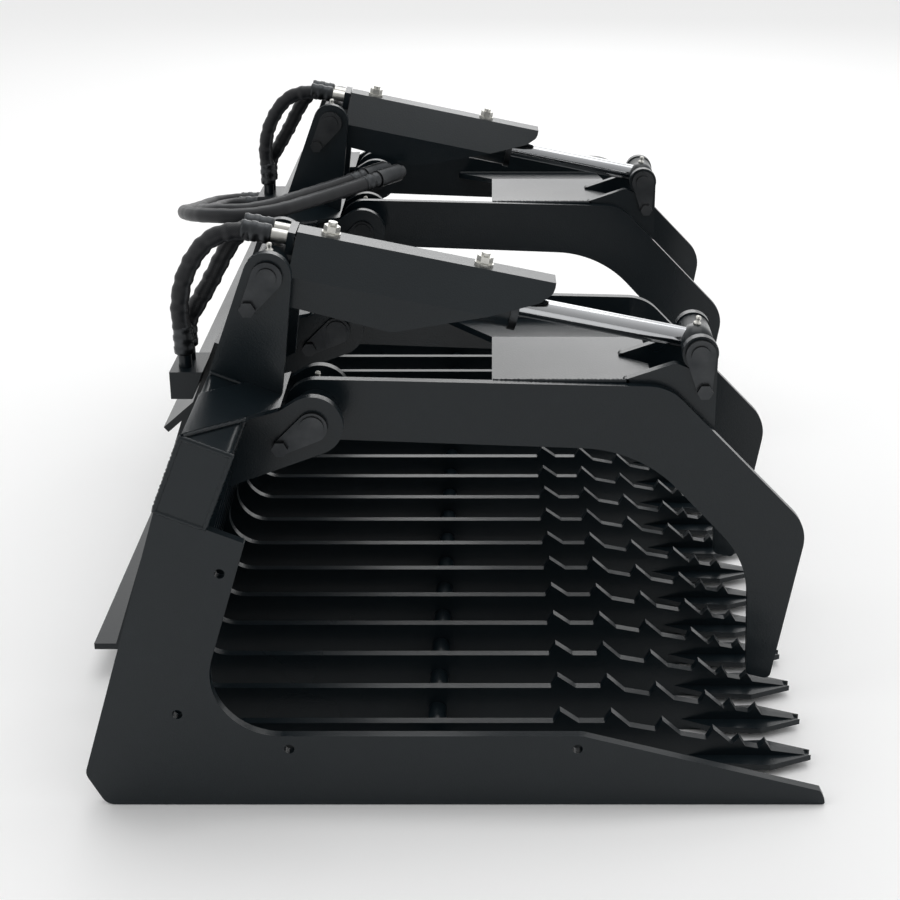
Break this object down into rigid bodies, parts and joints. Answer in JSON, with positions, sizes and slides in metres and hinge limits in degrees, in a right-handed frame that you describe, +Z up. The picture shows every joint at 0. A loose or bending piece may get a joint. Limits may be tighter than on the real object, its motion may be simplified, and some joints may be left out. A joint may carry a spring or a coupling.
{
  "type": "rock grapple bucket",
  "caption": "Wide rock bucket with toothed tines, quick-attach back plate and hydraulic grapple arms that clamp down.",
  "frame": {"origin": "on the ground, at the middle of the bucket's length and width", "axes": "+X towards the tine tips, +Y to the bucket's left, +Z up"},
  "size_m": [1.0103, 1.8288, 0.6926],
  "materials": {
    "black_paint": "satin",
    "chrome_rod": "polished",
    "zinc": "satin",
    "pin_steel": "satin",
    "hose": "matt"
  },
  "bodies": {
    "root": {"base_hose_left": "hose", "base_hose_right": "hose", "cross_rod": "black_paint", "ear_braces_left": "black_paint", "ear_braces_right": "black_paint", "frame_flag_bolts_left": "pin_steel", "frame_flag_bolts_right": "pin_steel", "frame_pins_left": "pin_steel", "frame_pins_right": "pin_steel", "hinge_ears_left": "black_paint", "hinge_ears_right": "black_paint", "hook_flange": "black_paint", "hose_block_left": "black_paint", "hose_block_right": "black_paint", "hose_coupler_first": "pin_steel", "hose_coupler_second": "pin_steel", "quick_attach_gussets": "black_paint", "quick_attach_plate": "black_paint", "rod_hose_left": "hose", "rod_hose_right": "hose", "side_plate_left": "black_paint", "side_plate_right": "black_paint", "supply_hose_first": "hose", "supply_hose_second": "hose", "tine_tip_stiffeners": "black_paint", "tines_left_inner": "black_paint", "tines_left_outer": "black_paint", "tines_middle": "black_paint", "tines_right_inner": "black_paint", "tines_right_outer": "black_paint", "top_tube": "black_paint", "towers_left": "black_paint", "towers_right": "black_paint", "tube_end_caps": "black_paint"},
    "right_grapple": {"arm_cross_plate_right": "black_paint", "arm_cross_tube_right": "black_paint", "arm_hubs_right": "black_paint", "arm_inner_right": "black_paint", "arm_outer_right": "black_paint", "rod_lugs_right": "black_paint", "rod_pins_right": "pin_steel"},
    "right_barrel": {"barrel_right": "black_paint", "cylinder_fittings_right": "zinc", "gland_right": "pin_steel", "guard_bolts_right": "zinc", "guard_right": "black_paint"},
    "right_rod": {"piston_rod_right": "chrome_rod"},
    "left_grapple": {"arm_cross_plate_left": "black_paint", "arm_cross_tube_left": "black_paint", "arm_hubs_left": "black_paint", "arm_inner_left": "black_paint", "arm_outer_left": "black_paint", "rod_lugs_left": "black_paint", "rod_pins_left": "pin_steel"},
    "left_barrel": {"barrel_left": "black_paint", "cylinder_fittings_left": "zinc", "gland_left": "pin_steel", "guard_bolts_left": "zinc", "guard_left": "black_paint"},
    "left_rod": {"piston_rod_left": "chrome_rod"}
  },
  "joints": [
    {"name": "right_grapple_hinge", "type": "hinge", "parent": "root", "child": "right_grapple", "pos_m": [-0.1565, 0, 0.452], "axis": [0, -1, 0], "range_deg": [0, 62.82]},
    {"name": "right_barrel_swing", "type": "hinge", "parent": "root", "child": "right_barrel", "pos_m": [-0.2105, 0, 0.64], "axis": [0, -1, 0], "range_deg": [0, 64.92], "deforming": ["base_hose_right", "rod_hose_right"]},
    {"name": "right_rod_slide", "type": "slide", "parent": "right_barrel", "child": "right_rod", "axis": [0.9796, 0, -0.2012], "range_m": [-0.20325, 0]},
    {"name": "left_grapple_hinge", "type": "hinge", "parent": "root", "child": "left_grapple", "pos_m": [-0.1565, 0, 0.452], "axis": [0, -1, 0], "range_deg": [0, 62.82]},
    {"name": "left_barrel_swing", "type": "hinge", "parent": "root", "child": "left_barrel", "pos_m": [-0.2105, 0, 0.64], "axis": [0, -1, 0], "range_deg": [0, 64.92], "deforming": ["base_hose_left", "rod_hose_left"]},
    {"name": "left_rod_slide", "type": "slide", "parent": "left_barrel", "child": "left_rod", "axis": [0.9796, 0, -0.2012], "range_m": [-0.20325, 0]}
  ],
  "couplings": [
    {"joint": "right_barrel_swing", "follows": "right_grapple_hinge", "ratio": 1.0333},
    {"joint": "right_rod_slide", "follows": "right_grapple_hinge", "m_per_rad": -0.18532},
    {"joint": "left_barrel_swing", "follows": "left_grapple_hinge", "ratio": 1.0333},
    {"joint": "left_rod_slide", "follows": "left_grapple_hinge", "m_per_rad": -0.18532}
  ]
}
